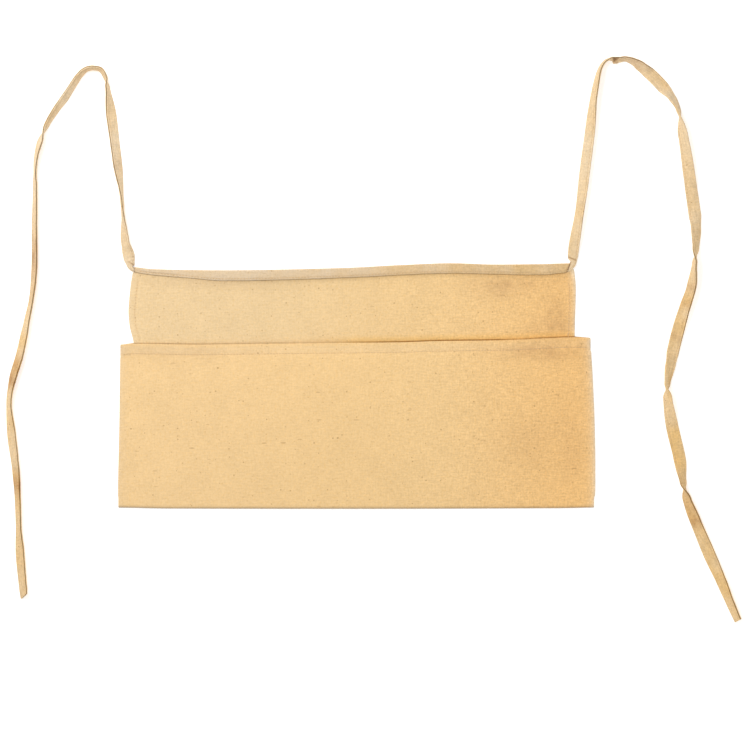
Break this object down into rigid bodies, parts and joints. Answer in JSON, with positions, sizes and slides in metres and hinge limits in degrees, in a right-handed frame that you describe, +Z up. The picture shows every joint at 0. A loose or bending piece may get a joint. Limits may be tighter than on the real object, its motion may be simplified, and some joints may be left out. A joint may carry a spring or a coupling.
{
  "type": "carpenter nail apron",
  "caption": "Short canvas waist apron with one wide open-topped nail pocket, a folded waistband and two long ties, lying face up and empty.",
  "frame": {"origin": "on the surface that the apron lies on, under the middle of the box round the apron without its ties", "axes": "+X to the right as the front is seen from above, +Y towards the waistband, +Z up from the back of the apron towards its front"},
  "size_m": [0.745, 0.5741, 0.0127],
  "materials": {
    "canvas": "unbleached natural cotton canvas, plain weave, matte, with seed flecks",
    "strip_canvas": "unbleached natural cotton canvas folded into a strip, plain weave, matte, slightly greyer"
  },
  "bodies": {
    "root": {"body_panel": "canvas", "pocket_panel": "canvas", "waistband": "strip_canvas", "tie_left": "strip_canvas", "tie_right": "strip_canvas"}
  },
  "joints": []
}
